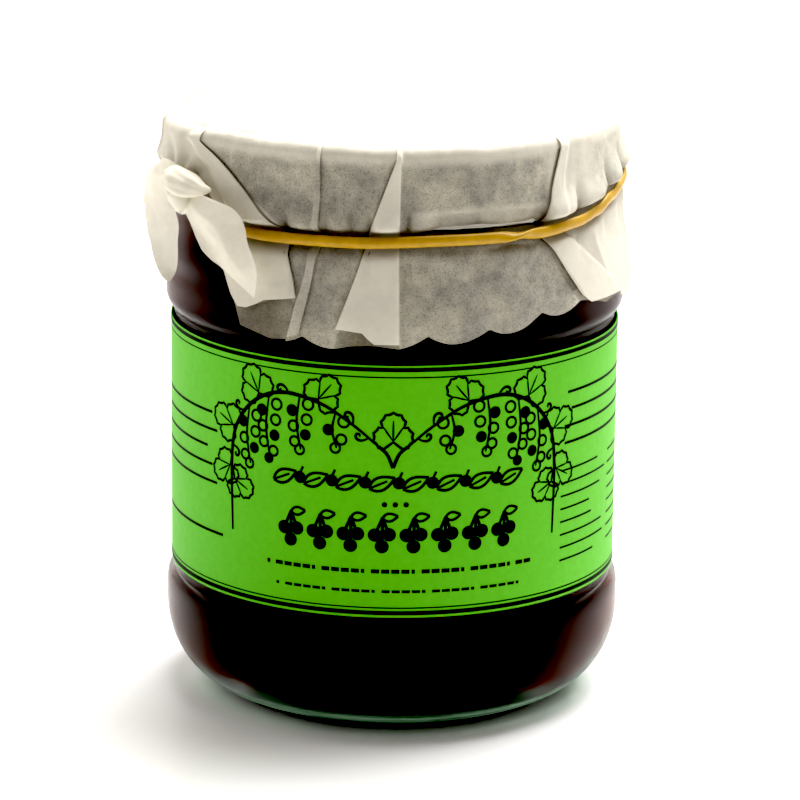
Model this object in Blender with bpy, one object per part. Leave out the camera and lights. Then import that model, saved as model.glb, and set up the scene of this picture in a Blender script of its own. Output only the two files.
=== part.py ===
"""A jar of dark fruit jam under a pleated paper cover, held by a rubber band.

The axis of the jar is Z and the jar stands on z = 0. The front of the label faces -Y.
Angles go round the jar in degrees from the front, and are positive towards +X.
"""

import math

import bmesh
import bpy
from mathutils import Vector

MM = 0.001

# Glass
BEAD_RADIUS = 35.0 * MM
PANEL_RADIUS = 33.75 * MM
WALL = 2.9 * MM
JAR_HEIGHT = 88.3 * MM
FOOT_INNER, FOOT_OUTER = 23.6 * MM, 26.2 * MM
HEEL_CENTRE, HEEL_TOP, HEEL_BOTTOM = 24.5 * MM, 13.0 * MM, 0.6 * MM
NECK_RADIUS = 30.9 * MM
FINISH_RADIUS = 30.5 * MM
MOUTH_RADIUS = 28.2 * MM
FLOOR_HEIGHT = 4.3 * MM
THREAD_COUNT, THREAD_ARC, THREAD_RISE, THREAD_PROUD = 4, 62.0, 2.2 * MM, 0.75 * MM
THREAD_BASE = 80.2 * MM

# Jam, label, lid
GAP = 0.25 * MM
JAM_LEVEL = 79.0 * MM
LABEL_BOTTOM, LABEL_TOP = 19.85 * MM, 58.4 * MM
LABEL_RADIUS, LABEL_THICKNESS, LABEL_HALF_WRAP = 34.3 * MM, 0.32 * MM, 170.0
LID_RADIUS, LID_TOP, LID_BOTTOM, LID_SHEET = 33.0 * MM, 90.0 * MM, 77.8 * MM, 0.5 * MM
LUG_ARC, LUG_REACH = 9.0, 0.95 * MM

# Paper cover and band
PAPER = 0.6 * MM
COVER_INNER_RADIUS = 33.3 * MM
COVER_TOP = 90.95 * MM
RIM_ROUND = 1.6 * MM
BAND_TALL, BAND_THICK = 1.75 * MM, 0.95 * MM
# The band's height in mm at angles round the jar: low at the front, and over the knot and behind it higher.
BAND_PATH = (
    (-180.0, 80.2), (-130.0, 79.9), (-95.0, 80.2), (-75.0, 80.6), (-58.0, 80.2), (-48.0, 77.9),
    (-38.0, 76.5), (-11.0, 76.7), (13.0, 77.1), (39.0, 77.0), (51.0, 77.5), (60.0, 78.3),
    (68.0, 79.5), (80.0, 80.5), (100.0, 80.8), (140.0, 80.5), (180.0, 80.2),
)
WAIST = 1.5 * MM
HEM_Z, SCALLOP_DEPTH, SCALLOP_ANGLE, SCALLOP_START = 63.2 * MM, 1.3 * MM, 14.8, 7.0
HEM_RISE, HEM_RISE_ANGLE = 2.2 * MM, 52.0
SKIRT_FLARE = 1.9 * MM
# The skirt is missing where the cover is gathered up into its knot.
GAP_FROM, GAP_TO, GAP_SLANT_BACK, GAP_SLANT_FRONT = -116.0, -38.0, 14.0, 13.0
GAP_BELOW_BAND = 2.1 * MM

# Each pleat: angle of its edge at rim, band and hem, its overlap at band and hem in degrees, and the side
# on which its upper layer runs on: 1 for towards greater angles, -1 for towards smaller ones.
PLEATS = (
    (-56.0, -28.7, -26.2, 11.0, 14.0, -1),
    (0.0, -7.0, -14.0, 8.0, 15.0, 1),
    (46.5, 42.2, 58.5, 8.0, 9.0, 1),
    (84.0, 88.0, 92.0, 5.0, 6.0, 1),
    (124.0, 122.0, 124.0, 6.0, 10.0, -1),
    (150.0, 152.0, 154.0, 5.0, 6.0, 1),
    (189.0, 186.0, 185.0, 6.0, 8.0, -1),
    (214.0, 218.0, 223.0, 7.0, 12.0, 1),
    (262.0, 264.0, 267.0, 4.0, 4.0, 1),
)
PLEAT_RISE = 0.85 * MM
COLUMN_ANGLE = 7.0

KNOT_ANGLE, KNOT_RADIUS, KNOT_Z = -55.5, 38.0 * MM, 81.4 * MM
KNOT_SIZE = (4.4 * MM, 2.5 * MM, 3.8 * MM)
TAIL_THICKNESS = 0.8 * MM

SPIN_STEPS = 48


def clear_scene():
    for old in list(bpy.data.objects):
        bpy.data.objects.remove(old)


def material(name, colour, roughness, metallic=0.0, transmission=0.0):
    made = bpy.data.materials.new(name)
    made.use_nodes = True
    shader = made.node_tree.nodes["Principled BSDF"]
    shader.inputs["Base Color"].default_value = (*colour, 1.0)
    shader.inputs["Roughness"].default_value = roughness
    shader.inputs["Metallic"].default_value = metallic
    shader.inputs["Transmission Weight"].default_value = transmission
    return made


def add_object(name, mesh_maker, finish, smooth_degrees=40.0):
    """A new object whose mesh is what mesh_maker, a bmesh, holds."""
    bmesh.ops.recalc_face_normals(mesh_maker, faces=mesh_maker.faces)
    mesh = bpy.data.meshes.new(name)
    mesh_maker.to_mesh(mesh)
    mesh_maker.free()
    mesh.shade_smooth()
    mesh.set_sharp_from_angle(angle=math.radians(smooth_degrees))
    mesh.materials.append(finish)
    made = bpy.data.objects.new(name, mesh)
    bpy.context.scene.collection.objects.link(made)
    return made


def around(angle, radius, z):
    """The point at that angle from the front, distance from the axis and height."""
    turn = math.radians(angle)
    return (radius * math.sin(turn), -radius * math.cos(turn), z)


def smooth(share):
    share = min(1.0, max(0.0, share))
    return share * share * (3.0 - 2.0 * share)


def signed(angle):
    """The same angle, from -180 to 180."""
    return (angle + 180.0) % 360.0 - 180.0


def turned(name, profile, finish, closed=False, steps=SPIN_STEPS):
    """A solid of revolution. An open profile starts and ends on the axis."""
    maker = bmesh.new()
    points = [maker.verts.new((radius, 0.0, z)) for radius, z in profile]
    pairs = list(zip(points, points[1:]))
    if closed:
        pairs.append((points[-1], points[0]))
    edges = [maker.edges.new(pair) for pair in pairs]
    bmesh.ops.spin(
        maker, geom=points + edges, axis=(0, 0, 1), cent=(0, 0, 0), steps=steps, angle=math.tau, use_merge=True
    )
    bmesh.ops.remove_doubles(maker, verts=maker.verts, dist=0.02 * MM)
    return add_object(name, maker, finish)


def in_mm(*pairs):
    return [(radius * MM, z * MM) for radius, z in pairs]


def heel(centre, half_width, top, bottom, angles):
    """Points up the round heel of the jar, an ellipse's quarter."""
    return [
        (centre + half_width * math.cos(math.radians(t)), top - (top - bottom) * math.sin(math.radians(t)))
        for t in angles
    ]


def glass_outside():
    foot = in_mm((0.0, 3.0), (12.0, 2.6), (19.0, 1.5), (22.4, 0.3)) + [(FOOT_INNER, 0.0), (FOOT_OUTER, 0.0)]
    round_heel = heel(HEEL_CENTRE, BEAD_RADIUS - HEEL_CENTRE, HEEL_TOP, HEEL_BOTTOM, (75, 60, 45, 30, 15, 0))
    low_bead = [(BEAD_RADIUS, 16.3 * MM), (34.55 * MM, 17.7 * MM), (PANEL_RADIUS, 18.6 * MM)]
    panel_top = [(PANEL_RADIUS, 59.5 * MM)]
    high_bead = in_mm((34.5, 60.3), (35.0, 61.6), (35.0, 63.4), (34.8, 65.5), (34.45, 67.5))
    shoulder = in_mm((34.3, 69.4), (33.9, 70.9), (33.35, 72.2), (33.2, 73.6), (33.0, 75.0), (32.2, 76.2))
    finish = [(NECK_RADIUS, 77.2 * MM), (FINISH_RADIUS, 79.0 * MM), (FINISH_RADIUS, 87.2 * MM)]
    rim = [(30.1 * MM, 88.0 * MM), (29.6 * MM, JAR_HEIGHT), (28.9 * MM, JAR_HEIGHT)]
    return foot + round_heel + low_bead + panel_top + high_bead + shoulder + finish + rim


def glass_inside(shrink=0.0):
    """The inner wall from the mouth down to the middle of the floor, moved into the hollow by shrink."""
    wall = PANEL_RADIUS - WALL
    points = [(MOUTH_RADIUS, 87.4 * MM), (MOUTH_RADIUS, 76.8 * MM)]
    points += in_mm((29.1, 74.6), (30.2, 71.8), (31.2, 68.8), (31.7, 66.4), (31.8, 63.4))
    points += [(wall, 60.0 * MM), (wall, 19.0 * MM)]
    points += in_mm((32.0, 15.5), (32.2, 11.8), (31.4, 8.6), (29.5, 6.2), (26.8, 4.8)) + [(23.0 * MM, FLOOR_HEIGHT)]
    points += [(12.0 * MM, FLOOR_HEIGHT + 0.6 * MM), (0.0, FLOOR_HEIGHT + 0.8 * MM)]
    return [(max(radius - shrink, 0.0), z + shrink) for radius, z in points]


def ramp(name, arc, start_angle, start_z, rise, radius, proud, tall, finish):
    """A short ridge on a cylinder: a thread's ramp, or a lug where rise is 0. proud below 0 points inwards."""
    maker = bmesh.new()
    steps = max(2, round(arc / 7.0))
    root = radius - math.copysign(0.3 * MM, proud)
    rings = []
    for i in range(steps + 1):
        share = i / steps
        swell = min(1.0, 4.0 * share + 0.25, 4.0 * (1.0 - share) + 0.25)
        z = start_z + rise * share
        angle = start_angle + arc * share
        crest = radius + proud * swell
        section = ((root, -tall / 2), (crest, -tall / 5), (crest, tall / 5), (root, tall / 2))
        rings.append([maker.verts.new(around(angle, r, z + dz)) for r, dz in section])
    for low, high in zip(rings, rings[1:]):
        for k in range(4):
            maker.faces.new((low[k], low[(k + 1) % 4], high[(k + 1) % 4], high[k]))
    maker.faces.new(rings[0])
    maker.faces.new(reversed(rings[-1]))
    return add_object(name, maker, finish)


def join_onto(body, pieces):
    """Fuses the pieces onto the body with Boolean unions, and removes them."""
    for piece in pieces:
        union = body.modifiers.new("union", "BOOLEAN")
        union.operation = "UNION"
        union.solver = "EXACT"
        union.object = piece
        bpy.context.view_layer.update()
        graph = bpy.context.evaluated_depsgraph_get()
        joined = bpy.data.meshes.new_from_object(body.evaluated_get(graph))
        body.modifiers.remove(union)
        body.data = joined
        bpy.data.objects.remove(piece)


def make_jar(glass):
    jar = turned("jar", glass_outside() + glass_inside(), glass)
    every = 360.0 / THREAD_COUNT
    threads = []
    for i in range(THREAD_COUNT):
        shape = (THREAD_ARC, i * every, THREAD_BASE, THREAD_RISE, FINISH_RADIUS, THREAD_PROUD, 1.4 * MM)
        threads.append(ramp(f"thread_{i}", *shape, glass))
    join_onto(jar, threads)
    return jar


def make_jam(fruit):
    wall = [point for point in glass_inside(GAP) if point[1] < JAM_LEVEL]
    top = [(0.0, JAM_LEVEL + 0.4 * MM), (16.0 * MM, JAM_LEVEL), (MOUTH_RADIUS - GAP, JAM_LEVEL - 0.3 * MM)]
    return turned("jam", top + wall, fruit)


def make_lid(steel):
    outside = [(0.0, LID_TOP - 0.75 * MM), (24.0 * MM, LID_TOP - 0.75 * MM), (25.4 * MM, LID_TOP)]
    outside += [(31.4 * MM, LID_TOP), (32.6 * MM, LID_TOP - 0.5 * MM), (LID_RADIUS, LID_TOP - 1.5 * MM)]
    outside += [(LID_RADIUS, LID_BOTTOM + 0.7 * MM)]
    curl = [(LID_RADIUS - 0.3 * MM, LID_BOTTOM), (31.9 * MM, LID_BOTTOM), (31.7 * MM, LID_BOTTOM + 0.7 * MM)]
    inner_radius = LID_RADIUS - LID_SHEET
    inside = [(inner_radius, LID_BOTTOM + 1.8 * MM), (inner_radius, 88.2 * MM), (32.2 * MM, 89.1 * MM)]
    inside += in_mm((31.2, 89.5), (25.8, 89.5), (24.3, 88.75), (0.0, 88.75))
    lid = turned("lid", outside + curl + inside, steel)
    every = 360.0 / THREAD_COUNT
    lugs = [
        ramp(f"lug_{i}", LUG_ARC, 8.0 + i * every, 79.35 * MM, 0.0, inner_radius, -LUG_REACH, 0.8 * MM, steel)
        for i in range(THREAD_COUNT)
    ]
    join_onto(lid, lugs)
    return lid


def make_liner(rubber):
    section = in_mm((27.4, 88.55), (31.0, 88.55), (31.0, 89.25), (27.4, 89.25))
    return turned("lid_liner", section, rubber, closed=True)


def make_label(paper):
    maker = bmesh.new()
    steps = 48
    inner = LABEL_RADIUS - LABEL_THICKNESS
    corners = [(inner, LABEL_BOTTOM), (LABEL_RADIUS, LABEL_BOTTOM)]
    corners += [(LABEL_RADIUS, LABEL_TOP), (inner, LABEL_TOP)]
    rings = []
    for i in range(steps + 1):
        angle = -LABEL_HALF_WRAP + 2.0 * LABEL_HALF_WRAP * i / steps
        rings.append([maker.verts.new(around(angle, r, z)) for r, z in corners])
    for first, second in zip(rings, rings[1:]):
        for k in range(4):
            maker.faces.new((first[k], first[(k + 1) % 4], second[(k + 1) % 4], second[k]))
    maker.faces.new(rings[0])
    maker.faces.new(reversed(rings[-1]))
    return add_object("label", maker, paper)


def band_height(angle):
    """The height of the band's middle, eased between the points of its path."""
    turn = signed(angle)
    for (first, low), (second, high) in zip(BAND_PATH, BAND_PATH[1:]):
        if first <= turn <= second:
            return (low + (high - low) * smooth((turn - first) / (second - first))) * MM
    return BAND_PATH[0][1] * MM


def make_band(rubber):
    maker = bmesh.new()
    steps = 60
    inner = COVER_INNER_RADIUS + PAPER + GAP
    outer = inner + BAND_THICK
    rings = []
    for i in range(steps):
        angle = 360.0 * i / steps
        z = band_height(angle)
        half = BAND_TALL / 2
        corners = ((inner, -half), (outer, -0.8 * half), (outer, 0.8 * half), (inner, half))
        rings.append([maker.verts.new(around(angle, r, z + dz)) for r, dz in corners])
    for i in range(steps):
        first, second = rings[i], rings[(i + 1) % steps]
        for k in range(4):
            maker.faces.new((first[k], first[(k + 1) % 4], second[(k + 1) % 4], second[k]))
    return add_object("rubber_band", maker, rubber)


def between(rim, band, hem, level):
    """A pleat's value at a level: 0 is the rim, 1 the band and 2 the hem."""
    if level <= 1.0:
        return rim + (band - rim) * max(level, 0.0)
    return band + (hem - band) * (level - 1.0)


def cover_columns(level):
    """(angle, share of the pleat's rise) of each column round the cover at that level."""
    keys = []
    for rim, band, hem, lap_band, lap_hem, side in PLEATS:
        edge = between(rim, band, hem, level)
        lap = between(1.5, lap_band, lap_hem, level)
        far = edge + side * lap
        foot = edge - side * 0.9
        pleat = [(foot, 0.0), (edge, 1.0), (edge + side * lap * 0.5, 0.8), (far, 0.35), (far + side * 3.5, 0.0)]
        keys.append(sorted(pleat))
    columns = []
    for i, pleat in enumerate(keys):
        columns += pleat
        end = pleat[-1][0]
        start = keys[(i + 1) % len(keys)][0][0] + (360.0 if i + 1 == len(keys) else 0.0)
        apart = (PLEATS[(i + 1) % len(PLEATS)][1] - PLEATS[i][1]) % 360.0
        parts = max(3, round(apart / COLUMN_ANGLE))
        for k in range(1, parts):
            columns.append((end + (start - end) * k / parts, 0.0))
    return columns


def hem_height(angle):
    """The scalloped hem, which climbs to the band where the cover is knotted."""
    turn = signed(angle)
    phase = ((angle + SCALLOP_START) % SCALLOP_ANGLE) / SCALLOP_ANGLE
    low = HEM_Z - SCALLOP_DEPTH * math.sin(math.pi * phase)
    low += HEM_RISE * math.exp(-(((turn - HEM_RISE_ANGLE) / 13.0) ** 2))
    climb = min(smooth((turn - GAP_FROM) / GAP_SLANT_BACK), smooth((GAP_TO - turn) / GAP_SLANT_FRONT))
    return low + (band_height(angle) - GAP_BELOW_BAND - low) * climb


def knot_bulge(angle, z):
    """How far the paper stands off the lid towards its knot."""
    turn = math.exp(-((signed(angle + 65.0) / 18.0) ** 2))
    rise = smooth((z - band_height(angle) - 1.3 * MM) / (3.5 * MM))
    return 3.3 * MM * turn * rise


def cover_rows():
    """(level, function of the angle for the height, base radius) of each row from the rim to the hem."""
    rows = []
    top = 89.0 * MM
    for share in (0.0, 0.25, 0.5, 0.75):
        rows.append((share, lambda angle, s=share: top + (band_height(angle) + WAIST - top) * s, 0.35 * MM))
    for level, offset in ((0.9, WAIST), (1.0, 0.0), (1.08, -WAIST)):
        rows.append((level, lambda angle, d=offset: band_height(angle) + d, 0.0))
    for share in (0.25, 0.5, 0.75, 1.0):
        rows.append(
            (
                1.08 + 0.92 * share,
                lambda angle, s=share: (band_height(angle) - WAIST) * (1.0 - s) + hem_height(angle) * s,
                SKIRT_FLARE * math.sin(share * math.pi / 2),
            )
        )
    return rows


def make_cover(paper):
    """A shell whose outer face carries the pleats, with the tucked folds' steps as relief."""
    maker = bmesh.new()
    outer_rings, inner_rings = [], []
    columns = cover_columns(0.0)
    shoulder = COVER_INNER_RADIUS + PAPER - RIM_ROUND
    for radius, z in ((12.0 * MM, COVER_TOP), (26.0 * MM, COVER_TOP), (shoulder, COVER_TOP - 0.1 * MM)):
        outer_rings.append([maker.verts.new(around(a, radius, z)) for a, _ in columns])
        inner_rings.append([maker.verts.new(around(a, radius - PAPER, COVER_TOP - PAPER)) for a, _ in columns])
    for level, height, flare in cover_rows():
        outer, inner = [], []
        squeezed = 0.0 if 0.85 < level < 1.1 else 1.0
        for angle, rise in cover_columns(level):
            z = height(angle)
            bulge = knot_bulge(angle, z)
            below = smooth((band_height(angle) - z - WAIST) / (5.0 * MM))
            radius = COVER_INNER_RADIUS + flare * (below if level > 1.1 else 1.0) + bulge
            lift = PLEAT_RISE * rise * squeezed * (0.6 if level < 0.1 else 1.0)
            outer.append(maker.verts.new(around(angle, radius + PAPER + lift, z)))
            inner.append(maker.verts.new(around(angle, radius, z)))
        outer_rings.append(outer)
        inner_rings.append(inner)
    count = len(columns)
    for rings in (outer_rings, inner_rings):
        for upper, lower in zip(rings, rings[1:]):
            for i in range(count):
                maker.faces.new((upper[i], upper[(i + 1) % count], lower[(i + 1) % count], lower[i]))
        maker.faces.new(rings[0])
    for i in range(count):
        j = (i + 1) % count
        maker.faces.new((outer_rings[-1][i], outer_rings[-1][j], inner_rings[-1][j], inner_rings[-1][i]))
    bmesh.ops.triangulate(maker, faces=maker.faces, quad_method="FIXED")
    return add_object("paper_cover", maker, paper, 30.0)


def make_knot(paper):
    """The lump where the cover's gathered edge is tied."""
    maker = bmesh.new()
    bmesh.ops.create_icosphere(maker, subdivisions=3, radius=1.0)
    centre = around(KNOT_ANGLE, KNOT_RADIUS, KNOT_Z)
    turn = math.radians(KNOT_ANGLE)
    for vertex in maker.verts:
        x, y, z = vertex.co
        crease = 1.0 - 0.16 * math.exp(-((x * 0.8 + z * 0.6) / 0.16) ** 2) + 0.06 * math.sin(4.0 * x + 3.0 * z)
        x, y, z = (value * size * crease for value, size in zip((x, y, z), KNOT_SIZE))
        vertex.co = (
            centre[0] + x * math.cos(turn) - y * math.sin(turn),
            centre[1] + x * math.sin(turn) + y * math.cos(turn),
            centre[2] + z,
        )
    return add_object("knot", maker, paper)


def make_tail(name, path, width, face_turn, cup, paper):
    """A leaf-shaped end of the knot. path holds (angle, radius mm, height mm) points from the knot to the tip.

    face_turn is the angle its face looks towards, and cup how far its two edges curl in.
    """
    maker = bmesh.new()
    points = [around(angle, radius * MM, z * MM) for angle, radius, z in path]
    steps, across = 10, 4
    look = around(face_turn, 1.0, 0.0)
    rings = []
    for i in range(steps + 1):
        share = i / steps
        place = share * (len(points) - 1)
        k = min(int(place), len(points) - 2)
        part = place - k
        middle = [a + (b - a) * part for a, b in zip(points[k], points[k + 1])]
        along = [b - a for a, b in zip(points[k], points[k + 1])]
        side = Vector(along).cross(Vector(look)).normalized()
        half = width / 2 * max(math.sin(math.pi * (0.14 + 0.86 * share)), 0.0) ** 0.7 + 0.5 * MM
        ring = []
        for face in (1.0, -1.0):
            for j in range(across + 1):
                s = (j / across * 2.0 - 1.0) * face
                lift = face * TAIL_THICKNESS / 2 - cup * s * s
                ring.append(
                    maker.verts.new([m + side[n] * half * s + look[n] * lift for n, m in enumerate(middle)])
                )
        rings.append(ring)
    size = len(rings[0])
    for first, second in zip(rings, rings[1:]):
        for j in range(size):
            maker.faces.new((first[j], first[(j + 1) % size], second[(j + 1) % size], second[j]))
    maker.faces.new(rings[0])
    maker.faces.new(reversed(rings[-1]))
    bmesh.ops.triangulate(maker, faces=maker.faces, quad_method="FIXED")
    return add_object(name, maker, paper)


FRONT_TAIL = (
    (-54.0, 38.2, 80.6), (-48.5, 38.7, 79.0), (-42.5, 38.7, 76.8), (-38.4, 38.8, 74.6), (-35.0, 38.9, 71.9),
    (-32.2, 38.7, 68.4),
)
BACK_TAIL = (
    (-59.5, 38.2, 82.8), (-69.0, 38.3, 81.4), (-74.4, 38.5, 78.6), (-75.6, 38.4, 75.0), (-75.1, 38.1, 71.0),
    (-74.0, 37.5, 67.4), (-73.6, 37.0, 65.0),
)


def make_paper(paper):
    cover = make_cover(paper)
    front = make_tail("front_tail", FRONT_TAIL, 7.2 * MM, -38.0, 0.7 * MM, paper)
    back = make_tail("back_tail", BACK_TAIL, 6.2 * MM, -42.0, 0.6 * MM, paper)
    join_onto(cover, [make_knot(paper), front, back])
    return cover


def stand_on_origin(pieces):
    """Parents the pieces to an empty, placed so that the origin is under the middle of them all."""
    corners = [piece.matrix_world @ vertex.co for piece in pieces for vertex in piece.data.vertices]
    middle = [(min(c[n] for c in corners) + max(c[n] for c in corners)) / 2 for n in (0, 1)]
    root = bpy.data.objects.new("root", None)
    bpy.context.scene.collection.objects.link(root)
    root.location = (-middle[0], -middle[1], 0.0)
    for piece in pieces:
        piece.parent = root


def main():
    clear_scene()
    lacquered_steel = material("lacquered_steel", (0.78, 0.76, 0.70), 0.3, metallic=1.0)
    pieces = [
        make_jar(material("clear_glass", (0.82, 0.92, 0.88), 0.03, transmission=1.0)),
        make_jam(material("dark_jam", (0.012, 0.002, 0.004), 0.2)),
        make_lid(lacquered_steel),
        make_liner(material("liner_compound", (0.75, 0.73, 0.68), 0.6)),
        make_label(material("green_paper", (0.12, 0.55, 0.03), 0.6)),
        make_paper(material("tissue_paper", (0.74, 0.72, 0.64), 0.8)),
        make_band(material("yellow_rubber", (0.62, 0.40, 0.02), 0.45)),
    ]
    stand_on_origin(pieces)


main()
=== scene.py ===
"""The looks of a jar of dark fruit jam under a pleated paper cover, built around its packed CAD part."""

import math
from collections import namedtuple

import bpy
import numpy as np
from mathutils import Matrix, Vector, noise


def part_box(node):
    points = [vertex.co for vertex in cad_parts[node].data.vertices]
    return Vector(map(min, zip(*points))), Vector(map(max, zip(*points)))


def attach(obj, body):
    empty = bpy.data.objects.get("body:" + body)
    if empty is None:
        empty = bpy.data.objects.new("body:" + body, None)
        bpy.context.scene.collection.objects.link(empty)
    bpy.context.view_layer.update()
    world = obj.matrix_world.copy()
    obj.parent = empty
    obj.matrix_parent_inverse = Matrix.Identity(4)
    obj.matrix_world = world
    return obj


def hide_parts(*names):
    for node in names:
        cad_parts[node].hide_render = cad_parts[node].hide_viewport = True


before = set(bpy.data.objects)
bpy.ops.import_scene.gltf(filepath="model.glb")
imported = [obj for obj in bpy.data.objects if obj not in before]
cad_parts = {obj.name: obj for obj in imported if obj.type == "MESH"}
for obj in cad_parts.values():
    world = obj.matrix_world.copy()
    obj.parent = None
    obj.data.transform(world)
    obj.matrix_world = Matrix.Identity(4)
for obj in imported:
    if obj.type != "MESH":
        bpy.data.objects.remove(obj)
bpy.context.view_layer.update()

bl_info = {
    "name": "Jam jar looks",
    "version": (1, 0, 0),
    "blender": (4, 5, 0),
    "location": "3D View > Sidebar > Jam jar",
    "description": "Glass, jam, label, pleated paper cover, rubber band and studio for a jam jar",
    "category": "Object",
}

# Lengths are in mm unless a line says otherwise, and angles in degrees from the front, rising to the viewer's right.
MM = 0.001
LABEL_LOW, LABEL_HIGH, LABEL_OUT = 19.85, 58.4, 34.3
LABEL_HALF_TURN = 168.0
JAM_TOP = 79.0
COVER_R, COVER_TOP = 33.65, 90.9
RIM = 1.7
BAND_R = 34.65
BAND_HALF_WIDE, BAND_HALF_TALL = 0.5, 0.85
# How far each further layer of a pleat stands off the one below it.
LAYER = 0.24
# Height range in metres over which the clear glass turns into the stippled foot with its painted glow, and the painted
# contact shadow under the foot.
FOOT_FROM, FOOT_TO = 0.0028, 0.0036
FOOT_SHADOW_FROM, FOOT_SHADOW_TO = 0.0008, 0.0014
CAMERA_AWAY, CAMERA_RISE, CAMERA_LENS = 0.65, 14.9, 189.3
CAMERA_SHIFT = (0.0078, -0.0071)


def settings():
    return bpy.context.scene.jam_jar


def around(angle, radius, z):
    turn = math.radians(angle)
    return Vector((radius * math.sin(turn), -radius * math.cos(turn), z)) * MM


def jar_axis():
    low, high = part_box("jar")
    return Vector(((low[0] + high[0]) / 2, (low[1] + high[1]) / 2, 0.0))


def smooth(share):
    share = min(1.0, max(0.0, share))
    return share * share * (3.0 - 2.0 * share)


def signed(angle):
    return (angle + 180.0) % 360.0 - 180.0


def mesh_object(name, points, faces, smooth_angle=None):
    mesh = bpy.data.meshes.new(name)
    mesh.from_pydata([tuple(p) for p in points], [], faces)
    mesh.update()
    made = bpy.data.objects.new(name, mesh)
    bpy.context.scene.collection.objects.link(made)
    made.location = jar_axis()
    mesh.shade_smooth()
    if smooth_angle is not None:
        mesh.set_sharp_from_angle(angle=math.radians(smooth_angle))
    return made


def place(piece, material, slot_name, *nodes):
    piece.data.materials.clear()
    piece.data.materials.append(material)
    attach(piece, "root")
    if nodes:
        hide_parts(*nodes)


def grid(rows, wrap):
    """Points and faces of rows of points of equal length, joined end to end if wrap."""
    count = len(rows[0])
    points = [p for row in rows for p in row]
    faces = []
    for r in range(len(rows) - 1):
        for c in range(count if wrap else count - 1):
            d = (c + 1) % count
            faces.append((r * count + c, r * count + d, (r + 1) * count + d, (r + 1) * count + c))
    return points, faces


def turned(name, profile, steps=144, smooth_angle=50.0):
    """A closed solid of revolution from a profile in mm that starts and ends on the axis."""
    inner = [p for p in profile if p[0] > 1e-6]
    rows = [[around(360.0 * s / steps, r, z) for s in range(steps)] for r, z in inner]
    points, faces = grid(rows, True)
    first, last = len(points), len(points) + 1
    points += [Vector((0.0, 0.0, profile[0][1])) * MM, Vector((0.0, 0.0, profile[-1][1])) * MM]
    end = (len(rows) - 1) * steps
    for s in range(steps):
        t = (s + 1) % steps
        faces.append((first, t, s))
        faces.append((last, end + s, end + t))
    return mesh_object(name, points, faces, smooth_angle)


def rounded(points, per=5):
    """A Catmull-Rom curve through the points."""
    pts = [np.array(p, float) for p in points]
    pts = [2 * pts[0] - pts[1]] + pts + [2 * pts[-1] - pts[-2]]
    out = []
    for a, b, c, d in zip(pts, pts[1:], pts[2:], pts[3:]):
        for k in range(per):
            t = k / per
            bend = (2 * a - 5 * b + 4 * c - d) * t * t + (3 * b - a - 3 * c + d) * t**3
            out.append(0.5 * (2 * b + (c - a) * t + bend))
    out.append(pts[-2])
    return [tuple(p) for p in out]


def new_material(name):
    material = bpy.data.materials.new(name)
    material.use_nodes = True
    return material, material.node_tree.nodes["Principled BSDF"]


def shader_group(name, outputs):
    """An empty node group with these (name, socket type) outputs."""
    group = bpy.data.node_groups.new(name, "ShaderNodeTree")
    for label, kind in outputs:
        group.interface.new_socket(name=label, in_out="OUTPUT", socket_type=kind)
    group.nodes.new("NodeGroupOutput")
    return group


def node(tree, kind, **values):
    made = tree.nodes.new(kind)
    for key, value in values.items():
        if hasattr(made, key):
            setattr(made, key, value)
        else:
            made.inputs[key.replace("_", " ")].default_value = value
    return made


def ramp(tree, source, stops):
    made = tree.nodes.new("ShaderNodeValToRGB")
    elements = made.color_ramp.elements
    while len(elements) < len(stops):
        elements.new(0.5)
    for element, (position, colour) in zip(elements, stops):
        element.position = position
        element.color = (*colour, 1.0) if len(colour) == 3 else colour
    tree.links.new(source, made.inputs[0])
    return made.outputs[0]


def stretched(tree, source, to_low, to_high, low=0.0, high=1.0):
    """The value, moved from the range low to high into the range to_low to to_high."""
    made = tree.nodes.new("ShaderNodeMapRange")
    tree.links.new(source, made.inputs[0])
    for socket, value in zip(made.inputs[1:5], (low, high, to_low, to_high)):
        socket.default_value = value
    return made.outputs[0]


def noise_at(tree, place_in, **values):
    """A noise texture's value at the object's own coordinates."""
    made = node(tree, "ShaderNodeTexNoise", **values)
    tree.links.new(place_in.outputs["Object"], made.inputs["Vector"])
    return made.outputs[0]


def dimmed(colour, share):
    return [share * c for c in colour]


def use_group(tree, group):
    used = tree.nodes.new("ShaderNodeGroup")
    used.node_tree = group
    return used


def bumped(tree, shader, height, strength, distance):
    bump = node(tree, "ShaderNodeBump", Strength=strength, Distance=distance)
    tree.links.new(height, bump.inputs["Height"])
    tree.links.new(bump.outputs[0], shader.inputs["Normal"])


def blended_surface(tree, share, first, second):
    """Mixes two shaders into the material's surface. share is a number or an output."""
    both = tree.nodes.new("ShaderNodeMixShader")
    if isinstance(share, float):
        both.inputs[0].default_value = share
    else:
        tree.links.new(share, both.inputs[0])
    tree.links.new(first.outputs[0], both.inputs[1])
    tree.links.new(second.outputs[0], both.inputs[2])
    tree.links.new(both.outputs[0], tree.nodes["Material Output"].inputs["Surface"])


def mixed(tree, factor, first, second, blend="MIX"):
    made = tree.nodes.new("ShaderNodeMix")
    made.data_type = "RGBA"
    made.blend_type = blend
    for socket, value in ((made.inputs[0], factor), (made.inputs[6], first), (made.inputs[7], second)):
        if isinstance(value, bpy.types.NodeSocket):
            tree.links.new(value, socket)
        elif isinstance(value, (int, float)):
            socket.default_value = value
        else:
            socket.default_value = (*value, 1.0)
    return made.outputs[2]


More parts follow.
